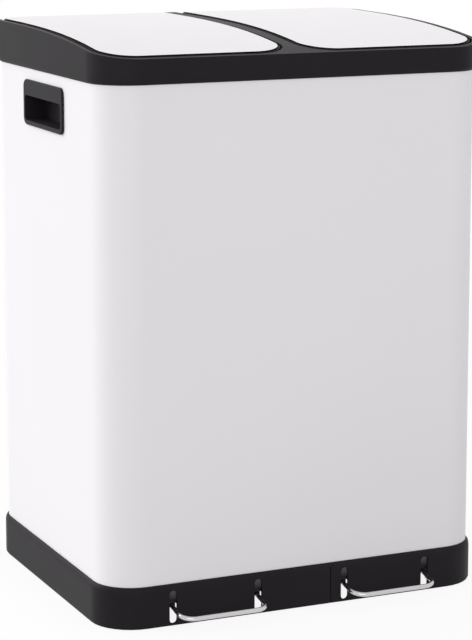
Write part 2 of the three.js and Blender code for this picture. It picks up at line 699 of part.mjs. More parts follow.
// Keeps what lies above the top curve moved down by d and, behind, above the end of the roll.
function aboveEdge(d) {
  const line = topLine(lidTop, -d).slice(1);
  const rollEnd = HINGE_Z + ROLL_R * Math.sin(rad(ROLL_END));
  return prismX([
    V2(BACK_Y + FAR, LID_BACK_Z + FAR),
    V2(BACK_Y + FAR, rollEnd),
    V2(HINGE_Y, rollEnd),
    V2(HINGE_Y, LID_BACK_Z - d),
    ...line,
    V2(FRONT_Y - FAR, LID_BACK_Z + FAR),
  ], -OUTER_W, OUTER_W);
}

// Sheet steel cover that lies on the liner; its rear edge follows the roll.
function lidCover(side) {
  const outline = lidOutline(side, 0, COVER, LID_R - COVER_BORDER);
  return cut(lidBody(outline, 0), underProfile(COVER_SHEET)).intersect(aboveEdge(LINER_DEPTH));
}

function lidLiner(side) {
  const under = COVER_SHEET + GAP;
  const solidLiner = lidBody(lidOutline(side, 0), under);
  const hollow = lidBody(lidOutline(side, -LINER_SKIN), under + LINER_SKIN);
  const tray = cut(solidLiner, hollow).intersect(aboveEdge(LINER_DEPTH));
  const keep = lidBody(lidOutline(side, -LINER_SKIN / 2), under + LINER_SKIN / 2);
  const ears = join(hingeEars(side), crankEars(side)).intersect(keep);
  const pinHoles = HINGE_XS.map((x) => (
    rodX(HINGE_Y, HINGE_Z, HINGE_PIN_R + GAP, side * x - 2 * LUG_W, side * x + 2 * LUG_W)
  ));
  const reach = 2 * (EYE_W + CRANK_EAR_W);
  const crankHole = rodX(
    CRANK_Y,
    CRANK_Z,
    CRANK_PIN_R + GAP,
    side * PEDAL_X - reach,
    side * PEDAL_X + reach,
  );
  return cut(join(tray, ears), pinHoles, crankHole);
}

// Two plates of a width and profile, on both sides of a space about x.
function pairOfEars(profile, x, space, width) {
  return [-1, 1].map((way) => {
    const middle = x + way * (space + width) / 2;
    return prismX(profile, middle - width / 2, middle + width / 2);
  });
}

// Two ears beside each of the frame's posts.
function hingeEars(side) {
  const profile = [
    ...arc(HINGE_Y, HINGE_Z, LUG_R, 180, 360, 2 * SMALL_STEPS),
    V2(HINGE_Y + LUG_R, LID_BACK_Z),
    V2(HINGE_Y - LUG_R, LID_BACK_Z),
  ];
  return HINGE_XS.flatMap((x) => pairOfEars(profile, side * x, LUG_W + 2 * EAR_PLAY, EAR_W));
}

// Two ears that hold the crank pin on both sides of the rod's eye.
function crankEars(side) {
  const profile = [
    ...arc(CRANK_Y, CRANK_Z, CRANK_EAR_R, CRANK_EAR_FROM, CRANK_EAR_TO, 2 * SMALL_STEPS),
    V2(HINGE_Y - LUG_R / 2, LID_BACK_Z),
    V2(CRANK_Y - 2 * CRANK_EAR_R, LID_BACK_Z),
  ];
  return pairOfEars(profile, side * PEDAL_X, EYE_W + 2 * EYE_PLAY, CRANK_EAR_W);
}

function hingePin(x) {
  const half = LUG_W / 2 + EAR_PLAY + EAR_W;
  return rodX(HINGE_Y, HINGE_Z, HINGE_PIN_R, x - half, x + half);
}

function crankPin(side) {
  const half = EYE_W / 2 + EYE_PLAY + CRANK_EAR_W + CRANK_PIN_END;
  return rodX(CRANK_Y, CRANK_Z, CRANK_PIN_R, side * PEDAL_X - half, side * PEDAL_X + half);
}

// Rubber buffer on the ledge under a front corner of the lid.
function lidBumper(x) {
  const y = LID.y0 + LINER_SKIN / 2;
  const bottom = Math.max(lidTop(y - BUMPER_R), lidTop(y + BUMPER_R)) - LEDGE_DROP + GAP;
  return rodZ(x, y, BUMPER_R, bottom, lidTop(y - BUMPER_R) - LINER_DEPTH - GAP);
}

// ---- Lift rods and pedals ----------------------------------------------------------------------------------

// Slotted eye on the rod; the crank pin wanders along the slot as the lid turns.
function rodEye(side) {
  const x = side * PEDAL_X;
  const y0 = CRANK_FRONT_Y - CRANK_PIN_R - EYE_PLAY + EYE_SLOT_R;
  const y1 = CRANK_BACK_Y + CRANK_PIN_R + EYE_PLAY - EYE_SLOT_R;
  const stadium = (grown) => [
    ...arc(y0, CRANK_Z, EYE_SLOT_R + grown, 90, 270, 2 * SMALL_STEPS),
    ...arc(y1, CRANK_Z, EYE_SLOT_R + grown, -90, 90, 2 * SMALL_STEPS),
  ];
  const plate = prismX(stadium(EYE_RIM), x - EYE_W / 2, x + EYE_W / 2);
  const neckTop = EYE_BOTTOM_Z + EYE_NECK_LAP;
  const neck = rodZ(x, ROD_Y, EYE_NECK_R, neckTop - EYE_NECK, neckTop);
  return cut(
    join(plate, neck),
    prismX(stadium(0), x - EYE_W, x + EYE_W),
    rodZ(x, ROD_Y, ROD_R + GAP, 0, EYE_BOTTOM_Z - SOCKET_SKIN),
  );
}

function liftRod(side) {
  const top = EYE_BOTTOM_Z - SOCKET_SKIN - GAP;
  return rodZ(side * PEDAL_X, ROD_Y, ROD_R, SADDLE_SEAT_Z + GAP, top);
}

// Saddle at the rod's foot that straddles the lever's crossbar.
function rodSaddle(side) {
  const x = side * PEDAL_X;
  const half = SADDLE_W / 2;
  const bottom = LEVER_END_Z - SADDLE_LEGS;
  const top = bottom + SADDLE_H;
  const slot = LEVER_R + ROD_PLAY + GAP;
  const crossbarTop = LEVER_END_Z + LEVER_R + GAP;
  return cut(
    box(x - half, x + half, ROD_Y - half, ROD_Y + half, bottom, top),
    box(x - SADDLE_W, x + SADDLE_W, ROD_Y - slot, ROD_Y + slot, 0, crossbarTop),
    rodZ(x, ROD_Y, ROD_R + GAP, SADDLE_SEAT_Z, top + PAST),
  );
}

// Tube on the axle, and a wire welded to it that runs back to the crossbar under the saddle.
function liftLever(side) {
  const x = side * PEDAL_X;
  const start = AXLE_Y + TUBE_R / 2;
  const lift = wire([
    V3(x - LEVER_SPREAD / 2, start, AXLE_Z - LEVER_DROP),
    V3(x - LEVER_END_W / 2, LEVER_END_Y, LEVER_END_Z),
    V3(x + LEVER_END_W / 2, LEVER_END_Y, LEVER_END_Z),
    V3(x + LEVER_SPREAD / 2, start, AXLE_Z - LEVER_DROP),
  ], LEVER_R, LEVER_BEND);
  const half = PEDAL_SPACING / 2 + BRACKET_FROM_ARM - BRACKET_W / 2 - TUBE_PLAY;
  return cut(
    join(rodX(AXLE_Y, AXLE_Z, TUBE_R, x - half, x + half), lift),
    rodX(AXLE_Y, AXLE_Z, AXLE_R + TUBE_PLAY, x - half - PAST, x + half + PAST),
  );
}

// Pedal: one chromed wire whose arms pass through the slots and end at the tube.
function pedalWire(side) {
  const x = side * PEDAL_X;
  const [near, far] = [x - PEDAL_SPACING / 2, x + PEDAL_SPACING / 2];
  const start = AXLE_Y - TUBE_R - GAP;
  return wire([
    V3(near, start, AXLE_Z),
    V3(near, KNEE_Y, KNEE_Z),
    V3(near, BAR_Y, BAR_Z),
    V3(far, BAR_Y, BAR_Z),
    V3(far, KNEE_Y, KNEE_Z),
    V3(far, start, AXLE_Z),
  ], WIRE_R, WIRE_BEND);
}

function pedalAxle(side) {
  const half = PEDAL_SPACING / 2 + BRACKET_FROM_ARM + BRACKET_W / 2 + AXLE_END;
  return rodX(AXLE_Y, AXLE_Z, AXLE_R, side * PEDAL_X - half, side * PEDAL_X + half);
}

// Rubber stop over an arm, under the slot's inner edge.
function pedalStop(x) {
  const front = -BODY_D / 2 + SHELL_WALL + GAP;
  const top = SLOT_THROUGH_Z - GAP;
  return box(x - STOP_W / 2, x + STOP_W / 2, front, front + STOP_LENGTH, top - STOP_H, top);
}

// ---- Buckets -----------------------------------------------------------------------------------------------

// Tapered tub with a chamfered bottom and a flange round its mouth.
function bucket(side) {
  const bottom = DECK_TOP_Z + GAP;
  const foot = {
    x0: BUCKET_MOUTH.x0 + BUCKET_TAPER_X,
    x1: BUCKET_MOUTH.x1 - BUCKET_TAPER_X,
    y0: BUCKET_MOUTH.y0 + BUCKET_TAPER_Y,
    y1: BUCKET_MOUTH.y1 - BUCKET_TAPER_Y,
  };
  const plan = (rect, r) => roundedRect(onSide(rect, side), r, SMALL_STEPS + 2);
  const ring = (rect, r, z) => plan(rect, r).map((p) => V3(p.x, p.y, z));
  const tub = (d, from, to) => loft([
    ring(grow(foot, -d - BUCKET_FOOT), BUCKET_R - BUCKET_FOOT, from),
    ring(grow(foot, -d), BUCKET_R, from + BUCKET_FOOT),
    ring(grow(BUCKET_MOUTH, -d), BUCKET_R, to),
  ]);
  const flange = prismZ(
    plan(grow(BUCKET_MOUTH, BUCKET_FLANGE), BUCKET_R),
    BUCKET_TOP_Z - BUCKET_WALL,
    BUCKET_TOP_Z,
  );
  const inside = tub(BUCKET_WALL, bottom + BUCKET_WALL, BUCKET_TOP_Z + PAST);
  return cut(join(tub(0, bottom, BUCKET_TOP_Z), flange), inside);
}

// ---- Assembly ----------------------------------------------------------------------------------------------

const MATERIALS = {
  white_paint: { color: 0xf1eff1, roughness: 0.35, metalness: 0 },
  black_plastic: { color: 0x2a282a, roughness: 0.45, metalness: 0 },
  grey_plastic: { color: 0x47474a, roughness: 0.5, metalness: 0 },
  chrome: { color: 0xd8d8da, roughness: 0.12, metalness: 1 },
  plain_steel: { color: 0x9b9ca0, roughness: 0.4, metalness: 1 },
  rubber: { color: 0x18181a, roughness: 0.85, metalness: 0 },
};

const materials = Object.fromEntries(
  Object.entries(MATERIALS).map(([name, look]) => [name, new THREE.MeshStandardMaterial(look)]),
);

function toMesh(name, body, material) {
  const { vertProperties, triVerts } = body.getMesh();
  const geometry = new THREE.BufferGeometry();
  geometry.setAttribute('position', new THREE.Float32BufferAttribute(vertProperties, 3));
  geometry.setIndex([...triVerts]);
  geometry.computeVertexNormals();
  const mesh = new THREE.Mesh(geometry, materials[material]);
  mesh.name = name;
  return mesh;
}

const group = new THREE.Group();
const add = (name, body, material) => group.add(toMesh(name, body, material));

add('body_shell', bodyShell(), 'white_paint');
add('base', base(), 'black_plastic');
add('lid_frame', lidFrame(), 'black_plastic');
for (const [name, x, y] of footPlaces()) add(`foot_${name}`, foot(x, y), 'rubber');

for (const [name, side] of [['left', -1], ['right', 1]]) {
  add(`side_grip_${name}`, sideGrip(side), 'black_plastic');
  add(`lid_cover_${name}`, lidCover(side), 'white_paint');
  add(`lid_liner_${name}`, lidLiner(side), 'black_plastic');
  add(`crank_pin_${name}`, crankPin(side), 'plain_steel');
  add(`lift_rod_${name}`, liftRod(side), 'plain_steel');
  add(`rod_eye_${name}`, rodEye(side), 'grey_plastic');
  add(`rod_saddle_${name}`, rodSaddle(side), 'grey_plastic');
  add(`lift_lever_${name}`, liftLever(side), 'plain_steel');
  add(`pedal_${name}`, pedalWire(side), 'chrome');
  add(`pedal_axle_${name}`, pedalAxle(side), 'plain_steel');
  add(`bucket_${name}`, bucket(side), 'grey_plastic');
  for (const [end, i] of [['inner', 0], ['outer', 1]]) {
    const cornerX = i ? LID.x1 - LID_R : LID.x0 + LID_R;
    add(`hinge_pin_${name}_${end}`, hingePin(side * HINGE_XS[i]), 'plain_steel');
    add(`lid_bumper_${name}_${end}`, lidBumper(side * cornerX), 'rubber');
    add(`pedal_stop_${name}_${end}`, pedalStop(side * ARM_XS[i]), 'rubber');
  }
}

group.position.y = FOOTPRINT_SHIFT;

export default group;
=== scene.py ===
"""Double recycling bin: the finished look of every piece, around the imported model.

Shapes are made in millimetres about the middle of the steel body, with the floor at zero, and then
placed in metres.
"""
import math

import bmesh
import bpy
from mathutils import Matrix, Vector


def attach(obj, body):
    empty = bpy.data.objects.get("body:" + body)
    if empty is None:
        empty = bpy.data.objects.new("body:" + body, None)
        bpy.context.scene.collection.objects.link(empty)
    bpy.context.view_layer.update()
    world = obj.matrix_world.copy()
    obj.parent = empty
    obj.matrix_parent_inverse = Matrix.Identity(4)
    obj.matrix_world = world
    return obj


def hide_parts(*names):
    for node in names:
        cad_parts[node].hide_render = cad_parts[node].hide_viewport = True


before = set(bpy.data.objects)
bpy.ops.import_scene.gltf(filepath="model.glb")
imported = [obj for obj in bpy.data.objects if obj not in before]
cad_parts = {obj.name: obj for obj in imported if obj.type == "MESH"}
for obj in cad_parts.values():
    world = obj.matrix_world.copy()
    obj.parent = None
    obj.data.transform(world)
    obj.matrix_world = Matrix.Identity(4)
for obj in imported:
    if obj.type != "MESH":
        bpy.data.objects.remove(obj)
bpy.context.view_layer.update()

# ---- Sizes in millimetres ------------------------------------------------------------------------

PLACE = Matrix.Translation((0, 0.016, 0)) @ Matrix.Scale(0.001, 4)   # to the frame's metres

BODY_HALF_X, BODY_HALF_Y, BODY_R = 231, 186, 45
BODY_LOW, BODY_HIGH = 29.2, 603   # the lower edge stays up in the base, out of sight of the pedal slots
BODY_STEPS = 20   # faces round a corner
SHEET = 0.6

HINGE_Y, HINGE_Z, ROLL_R = 173.5, 637, 10
LID_BACK_Z, LID_FALL, LID_POWER = 647, 19.2, 3.1
LID_FRONT_Y, LID_REAR_Y = -182, 183.5
COVER_X = (13, 224)
COVER_FRONT_Y = -179
COVER_R, COVER_HINGE_R = 38, 5
COVER_EDGE, COVER_HEM = 0.55, 0.75
LEAST_INSET = 0.001
COVER_STEPS, EDGE_STEPS = 14, 6   # faces round a corner, and over the rolled edge
ROLL_TURN = math.radians(60)
COVER_BENDS = (-178, -170, -160, -148, -135, -120, -104, -86, -66, -44,
               -18, 12, 50, 95, 140, 173.5, 176.1, 178.7, 181.4)

WIRE_R, WIRE_BEND = 2.6, 15
WIRE_SIDES, WIRE_TURN_STEPS = 20, 10   # faces round the wire, and along a quarter turn
PEDAL_X, PEDAL_HALF = 105, 51.25
PEDAL_START, KNEE, PEDAL_BAR = (-91.8, 32), (-172, 24.3), (-219.4, 15.9)

STOP_HALF, STOP_NOTCH = 4.2, 3.1
STOP_Y = (-185, -176.2)
STOP_TOP, STOP_UNDER, STOP_LOW = 28.7, (25.0, 26.7), 17.4
SLOT_BACK_Y, SLOT_BACK_Z = -187.5, (30, 40)   # where the back faces of the slots' recesses lie
SLOT_BACK_NEAR = 0.3
FACES_FRONT = -0.9   # a normal's y, below which a face looks forward

GRIP_HOLE_Y, GRIP_HOLE_Z = 60.6, (536.4, 581.6)

# In metres: how far edges are softened, and how near points are that are welded in a copy of a CAD mesh.
FRAME_EDGE, MOULDED_EDGE, BUCKET_EDGE, FOOT_EDGE = 0.0008, 0.0007, 0.0006, 0.0005
SMALL_EDGE, FINE_EDGE = 0.0004, 0.0003
WELD = 3e-6
# In degrees: what counts as one flat area, and the edges that are softened.
FLAT_TURN, SOFTENED_TURN = 0.6, 35
# In degrees: edges that turn more than this are shaded as edges.
SHARP_TURN, COVER_SHARP_TURN, WIRE_SHARP_TURN = 35, 50, 60

# ---- Camera --------------------------------------------------------------------------------------

CAMERA_PLACE = (-1.120, -2.496, 0.845)
CAMERA_YAW, CAMERA_PITCH = 24.168, 9.437   # degrees to the right of straight ahead, and down
CAMERA_LENS, CAMERA_SENSOR, CAMERA_REACH = 133.9, 36, 50
CAMERA_SHIFT = (-0.004, -0.12)


def make_camera():
    data = bpy.data.cameras.new("camera")
    data.lens = CAMERA_LENS
    data.sensor_width = CAMERA_SENSOR
    data.shift_x, data.shift_y = CAMERA_SHIFT
    data.clip_end = CAMERA_REACH
    camera = bpy.data.objects.new("camera", data)
    camera.location = CAMERA_PLACE
    yaw, pitch = math.radians(CAMERA_YAW), math.radians(CAMERA_PITCH)
    look = Vector((math.sin(yaw) * math.cos(pitch), math.cos(yaw) * math.cos(pitch), -math.sin(pitch)))
    camera.rotation_euler = look.to_track_quat("-Z", "Y").to_euler()
    bpy.context.scene.collection.objects.link(camera)
    bpy.context.scene.camera = camera


make_camera()

# ---- Node helpers --------------------------------------------------------------------------------


def start_group(name, inputs, outputs):
    """An empty node group with named sockets. Returns (tree, what comes in, what goes out)."""
    tree = bpy.data.node_groups.new(name, "ShaderNodeTree")
    kinds = {"vector": "NodeSocketVector", "value": "NodeSocketFloat"}
    for label, kind in inputs:
        tree.interface.new_socket(name=label, in_out="INPUT", socket_type=kinds[kind])
    for label, kind in outputs:
        tree.interface.new_socket(name=label, in_out="OUTPUT", socket_type=kinds[kind])
    return tree, tree.nodes.new("NodeGroupInput"), tree.nodes.new("NodeGroupOutput")


def feed(tree, socket, value):
    """Gives a socket its value, or links it where the value is itself a socket."""
    if isinstance(value, bpy.types.NodeSocket):
        tree.links.new(value, socket)
    else:
        socket.default_value = value


def add_node(tree, kind, settings=None, **values):
    """A node with its settings and its sockets' values. A key is a socket's name, or i and its number."""
    node = tree.nodes.new(kind)
    for key, value in (settings or {}).items():
        setattr(node, key, value)
    for key, value in values.items():
        numbered = key[0] == "i" and key[1:].isdigit()
        feed(tree, node.inputs[int(key[1:]) if numbered else key], value)
    return node


def maths(tree, operation, a, b=0.0, clamp=False):
    node = add_node(tree, "ShaderNodeMath", {"operation": operation, "use_clamp": clamp}, i0=a, i1=b)
    return node.outputs[0]


def remap(tree, value, low, high, to_low=0.0, to_high=1.0):
    node = add_node(tree, "ShaderNodeMapRange", None, i0=value, i1=low, i2=high, i3=to_low, i4=to_high)
    return node.outputs[0]


def noise(tree, vector, scale, detail, roughness=0.5):
    node = add_node(tree, "ShaderNodeTexNoise", None,
                    Vector=vector, Scale=scale, Detail=detail, Roughness=roughness)
    return node.outputs[0]


# ---- Effects that several finishes share ---------------------------------------------------------

PLAIN_DETAIL, SOME_DETAIL, MUCH_DETAIL, MUCH_ROUGHNESS = 1.0, 2.0, 4.0, 0.6   # of a noise
# Where in a noise's range each effect begins and is full.
MOTTLE_RANGE, SCRATCH_RANGE, SCRATCHED_RANGE = (0.3, 0.7), (0.69, 0.74), (0.5, 0.7)
UPWARD_RANGE, DUSTY_RANGE = (0.55, 1.0), (0.35, 0.75)
# Finer grain: how much smaller than the coarse grain, and how much of its height.
FINER, FINER_HEIGHT = 2.7, 0.4
# Two ways that scratches run: a turn in radians, and how far the noise is drawn out along each axis.
SCRATCHES = ((0.5, (900, 25, 40)), (-0.9, (30, 700, 60)))
SCRATCH_LEAN = 0.4
SCRATCHED_SCALE, DUSTY_SCALE = 14.0, 30.0


def make_mottle():
    """Slow, faint changes of tone over a surface."""
    tree, given, out = start_group(
        "slow_mottle", [("Vector", "vector"), ("Scale", "value")], [("Tone", "value")])
    wide = noise(tree, given.outputs["Vector"], given.outputs["Scale"], SOME_DETAIL)
    tree.links.new(remap(tree, wide, *MOTTLE_RANGE), out.inputs["Tone"])
    return tree


def make_grain():
    """Fine moulded or sprayed grain: rounded bumps with smaller ones between them."""
    tree, given, out = start_group(
        "fine_grain", [("Vector", "vector"), ("Scale", "value")], [("Height", "value")])
    coarse = noise(tree, given.outputs["Vector"], given.outputs["Scale"], SOME_DETAIL)
    finer = maths(tree, "MULTIPLY", given.outputs["Scale"], FINER)
    fine = noise(tree, given.outputs["Vector"], finer, PLAIN_DETAIL)
    both = maths(tree, "ADD", coarse, maths(tree, "MULTIPLY", fine, FINER_HEIGHT))
    tree.links.new(both, out.inputs["Height"])
    return tree


def make_scuffs():
    """Sparse fine scratches in two directions."""
    tree, given, out = start_group(
        "fine_scuffs", [("Vector", "vector"), ("Amount", "value")], [("Mask", "value")])
    lines = []
    for turn, stretch in SCRATCHES:
        mapping = add_node(tree, "ShaderNodeMapping", None, Vector=given.outputs["Vector"],
                           Rotation=(turn, SCRATCH_LEAN * turn, turn), Scale=stretch)
        streak = noise(tree, mapping.outputs[0], 1.0, PLAIN_DETAIL)
        lines.append(remap(tree, streak, *SCRATCH_RANGE))
    patch = noise(tree, given.outputs["Vector"], SCRATCHED_SCALE, SOME_DETAIL)
    patch = remap(tree, patch, *SCRATCHED_RANGE)
    both = maths(tree, "MAXIMUM", lines[0], lines[1])
    mask = maths(tree, "MULTIPLY", maths(tree, "MULTIPLY", both, patch), given.outputs["Amount"])
    tree.links.new(mask, out.inputs["Mask"])
    return tree


def make_dust():
    """Dust that settles on what faces up, in soft patches."""
    tree, given, out = start_group(
        "settled_dust", [("Vector", "vector"), ("Amount", "value")], [("Mask", "value")])
    normal = tree.nodes.new("ShaderNodeNewGeometry").outputs["Normal"]
    split = add_node(tree, "ShaderNodeSeparateXYZ", None, i0=normal)
    upward = remap(tree, split.outputs[2], *UPWARD_RANGE)
    patch = noise(tree, given.outputs["Vector"], DUSTY_SCALE, MUCH_DETAIL, MUCH_ROUGHNESS)
    patch = remap(tree, patch, *DUSTY_RANGE)
    mask = maths(tree, "MULTIPLY", maths(tree, "MULTIPLY", upward, patch), given.outputs["Amount"])
    tree.links.new(mask, out.inputs["Mask"])
    return tree


MOTTLE, GRAIN, SCUFFS, DUST = make_mottle(), make_grain(), make_scuffs(), make_dust()


def use(tree, group, **values):
    """A shared effect in a material's tree, with this material's own values."""
    return add_node(tree, "ShaderNodeGroup", {"node_tree": group}, **values).outputs[0]


# ---- Finishes ------------------------------------------------------------------------------------


def srgb(red, green, blue):
    """A colour as it is seen, 0 to 255, as the shader wants it."""
    return tuple(((c / 255 + 0.055) / 1.055) ** 2.4 for c in (red, green, blue)) + (1,)


DUST_TONE = srgb(188, 184, 178)
ROUGH_SPREAD = 0.03
WORN_DULLER, DUSTY_DULLER = 0.2, 0.5   # what wear and dust add to the roughness


def blend(tree, factor, first, second):
    """Two colours mixed by a mask."""
    node = add_node(tree, "ShaderNodeMix", {"data_type": "RGBA"}, i0=factor, i6=first, i7=second)
    return node.outputs[2]


def make_finish(name, colour, tone, rough, grain, bump, scuff=0.0, dust=0.0, metallic=0.0, specular=0.5,
                mottle=6.0, worn=None, painted_light_above=None):
    """A surface whose colour runs between two tones and whose gloss and relief follow its grain.

    The last argument is (low, high, lit colour): painted light that changes the colour to the lit colour
    between two heights, in metres.
    """
    material = bpy.data.materials.new(name)
    material.use_nodes = True
    tree = material.node_tree
    shader = tree.nodes["Principled BSDF"]
    place = tree.nodes.new("ShaderNodeTexCoord").outputs["Object"]
    slow = use(tree, MOTTLE, Vector=place, Scale=mottle)
    height = use(tree, GRAIN, Vector=place, Scale=grain)
    base = blend(tree, slow, colour, tone)
    # Painted light: the colour turns to the lit colour between two heights.
    if painted_light_above:
        low, high, painted_light_colour = painted_light_above
        level = add_node(tree, "ShaderNodeSeparateXYZ", None, i0=place).outputs[2]
        base = blend(tree, remap(tree, level, low, high), base, painted_light_colour)
    wear = use(tree, SCUFFS, Vector=place, Amount=scuff)
    base = blend(tree, wear, base, worn or tone)
    settled = use(tree, DUST, Vector=place, Amount=dust)
    base = blend(tree, settled, base, DUST_TONE)
    tree.links.new(base, shader.inputs["Base Color"])
    gloss = remap(tree, slow, 0, 1, rough - ROUGH_SPREAD, rough + ROUGH_SPREAD)
    gloss = maths(tree, "ADD", gloss, maths(tree, "MULTIPLY", wear, WORN_DULLER))
    gloss = maths(tree, "ADD", gloss, maths(tree, "MULTIPLY", settled, DUSTY_DULLER), clamp=True)
    tree.links.new(gloss, shader.inputs["Roughness"])
    relief = add_node(tree, "ShaderNodeBump", None, Strength=1.0, Distance=bump, Height=height)
    tree.links.new(relief.outputs[0], shader.inputs["Normal"])
    shader.inputs["Metallic"].default_value = metallic
    shader.inputs["Specular IOR Level"].default_value = specular
    return material


WHITE_PAINT = make_finish(
    "white_paint", srgb(243, 240, 243), srgb(241, 238, 241), rough=0.42, grain=650, bump=0.00004,
    mottle=3.0, scuff=0.05, dust=0.02, worn=srgb(225, 223, 224))
BLACK_PLASTIC = make_finish(
    "black_plastic", srgb(34, 31, 34), srgb(38, 35, 38), rough=0.45, grain=1500, bump=0.00006,
    scuff=0.2, dust=0.03, specular=0.07, worn=srgb(60, 58, 60))
# The liners' own black plastic, made darker and less glossy than the frame's: partly its colour, partly
# painted shade for the gap round each cover.
LINER_PLASTIC_AND_PAINTED_SHADE = make_finish(
    "liner_plastic_and_painted_shade", srgb(24, 22, 24), srgb(28, 26, 28), rough=0.5, grain=1500, bump=0.00006,
    scuff=0.1, dust=0.03, specular=0.03, worn=srgb(44, 42, 44))
# The slots' recess backs: dark plastic, with painted light that turns them lighter grey towards the top.
SLOT_BACK_WITH_PAINTED_LIGHT = make_finish(
    "slot_back_with_painted_light", srgb(33, 31, 33), srgb(36, 34, 36), rough=0.5, grain=1500, bump=0.00006,
    specular=0.05, painted_light_above=(0.029, 0.041, srgb(104, 102, 104)))
GREY_PLASTIC = make_finish(
    "grey_plastic", srgb(72, 72, 75), srgb(78, 78, 81), rough=0.5, grain=900, bump=0.00008,
    scuff=0.3, dust=0.05, worn=srgb(110, 110, 112))
CHROME = make_finish(
    "chrome", srgb(205, 203, 205), srgb(196, 194, 197), rough=0.16, grain=300, bump=0.000005,
    scuff=0.3, metallic=1.0, worn=srgb(175, 175, 177))
PLAIN_STEEL = make_finish(
    "plain_steel", srgb(165, 166, 170), srgb(150, 151, 154), rough=0.32, grain=1200, bump=0.00002,
    scuff=0.5, dust=0.05, metallic=1.0, worn=srgb(120, 119, 118))
RUBBER = make_finish(
    "rubber", srgb(24, 24, 26), srgb(30, 30, 32), rough=0.8, grain=1800, bump=0.00008,
    dust=0.2, worn=srgb(60, 60, 60))

# ---- Mesh helpers --------------------------------------------------------------------------------


def verts_of(geometry):
    return [g for g in geometry if isinstance(g, bmesh.types.BMVert)]


def faces_of(geometry):
    return [g for g in geometry if isinstance(g, bmesh.types.BMFace)]


def rounded_plate(bm, x0, x1, y0, y1, z, radii, steps):
    """A flat face with rounded corners. The radii go from the front right corner round by the rear."""
    made = bmesh.ops.create_grid(bm, x_segments=1, y_segments=1, size=0.5)["verts"]
    bmesh.ops.scale(bm, vec=(x1 - x0, y1 - y0, 1), verts=made)
    bmesh.ops.translate(bm, vec=((x0 + x1) / 2, (y0 + y1) / 2, z), verts=made)
    corners = [(x1, y0), (x1, y1), (x0, y1), (x0, y0)]
    for (x, y), radius in zip(corners, radii):
        corner = min(bm.verts, key=lambda v: (v.co.x - x) ** 2 + (v.co.y - y) ** 2)
        bmesh.ops.bevel(bm, geom=[corner], offset=radius, offset_type="OFFSET", segments=steps,
                        profile=0.5, affect="VERTICES", material=-1)
    return bm.faces[:][0]


def cut_across(bm, point, normal):
    """An edge all the way across the mesh, where a plane meets it."""
    everything = bm.verts[:] + bm.edges[:] + bm.faces[:]
    bmesh.ops.bisect_plane(bm, geom=everything, plane_co=point, plane_no=normal, dist=1e-4)


def to_piece(bm, name, body, material, sharp=SHARP_TURN, placed=False):
    """The bmesh as a finished piece that moves with a body."""
    if not placed:
        bmesh.ops.transform(bm, matrix=PLACE, verts=bm.verts)
    mesh = bpy.data.meshes.new(name)
    bm.to_mesh(mesh)
    bm.free()
    mesh.polygons.foreach_set("use_smooth", [True] * len(mesh.polygons))
    mesh.set_sharp_from_angle(angle=math.radians(sharp))
    mesh.materials.append(material)
    piece = bpy.data.objects.new(name, mesh)
    bpy.context.scene.collection.objects.link(piece)
    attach(piece, body)
    return piece


def even_shading(piece):
    """Keeps the shading of large flat faces flat beside small ones."""
    weighted = piece.modifiers.new("even_shading", "WEIGHTED_NORMAL")
    weighted.mode = "FACE_AREA"
    weighted.weight = 50
    weighted.keep_sharp = True


def round_edges(piece, width):
    """A Bevel over the piece's sharp edges."""
    edge = piece.modifiers.new("rounded_edges", "BEVEL")
    edge.width = width
    edge.segments = 2
    edge.limit_method = "ANGLE"
    edge.angle_limit = math.radians(SOFTENED_TURN)
    edge.use_clamp_overlap = True
    even_shading(piece)


def solid_copy(node):
    """A CAD node's shape as one welded bmesh, in metres, with its flat areas whole."""
    bm = bmesh.new()
    bm.from_mesh(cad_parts[node].data)
    bmesh.ops.remove_doubles(bm, verts=bm.verts, dist=WELD)
    bmesh.ops.dissolve_limit(bm, angle_limit=math.radians(FLAT_TURN), verts=bm.verts, edges=bm.edges)
    return bm


def dress(node, body, material, width):
    """The CAD node's own form with softened edges, in place of the node."""
    piece = to_piece(solid_copy(node), f"{node}_finished", body, material, placed=True)
    round_edges(piece, width)
    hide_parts(node)
    return piece


# ---- Body ----------------------------------------------------------------------------------------


def make_body():
    """Rolled sheet sleeve with a hole for a grip in each side."""
    bm = bmesh.new()
    plate = rounded_plate(bm, -BODY_HALF_X, BODY_HALF_X, -BODY_HALF_Y, BODY_HALF_Y, BODY_LOW,
                          [BODY_R] * 4, BODY_STEPS)
    outline = list(plate.edges)
    bmesh.ops.delete(bm, geom=[plate], context="FACES_ONLY")
    raised = bmesh.ops.extrude_edge_only(bm, edges=outline)["geom"]
    bmesh.ops.translate(bm, vec=(0, 0, BODY_HIGH - BODY_LOW), verts=verts_of(raised))
    for z in GRIP_HOLE_Z:
        cut_across(bm, (0, 0, z), (0, 0, 1))
    for y in (-GRIP_HOLE_Y, GRIP_HOLE_Y):
        cut_across(bm, (0, y, 0), (0, 1, 0))
    holes = []
    for face in bm.faces:
        middle = face.calc_center_median()
        in_hole = abs(middle.y) < GRIP_HOLE_Y and GRIP_HOLE_Z[0] < middle.z < GRIP_HOLE_Z[1]
        if in_hole and abs(middle.x) > BODY_HALF_X - 1:
            holes.append(face)
    bmesh.ops.delete(bm, geom=holes, context="FACES")
    bmesh.ops.recalc_face_normals(bm, faces=bm.faces)
    bmesh.ops.solidify(bm, geom=bm.faces[:], thickness=SHEET)
    piece = to_piece(bm, "body_sleeve", "bin", WHITE_PAINT)
    even_shading(piece)
    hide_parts("body_shell")


# ---- Lids ----------------------------------------------------------------------------------------


def lid_top(y):
    """The height of the lid's top, which falls towards the front."""
    fall = max(0.0, (LID_REAR_Y - y) / (LID_REAR_Y - LID_FRONT_Y)) ** LID_POWER
    return LID_BACK_Z - LID_FALL * fall


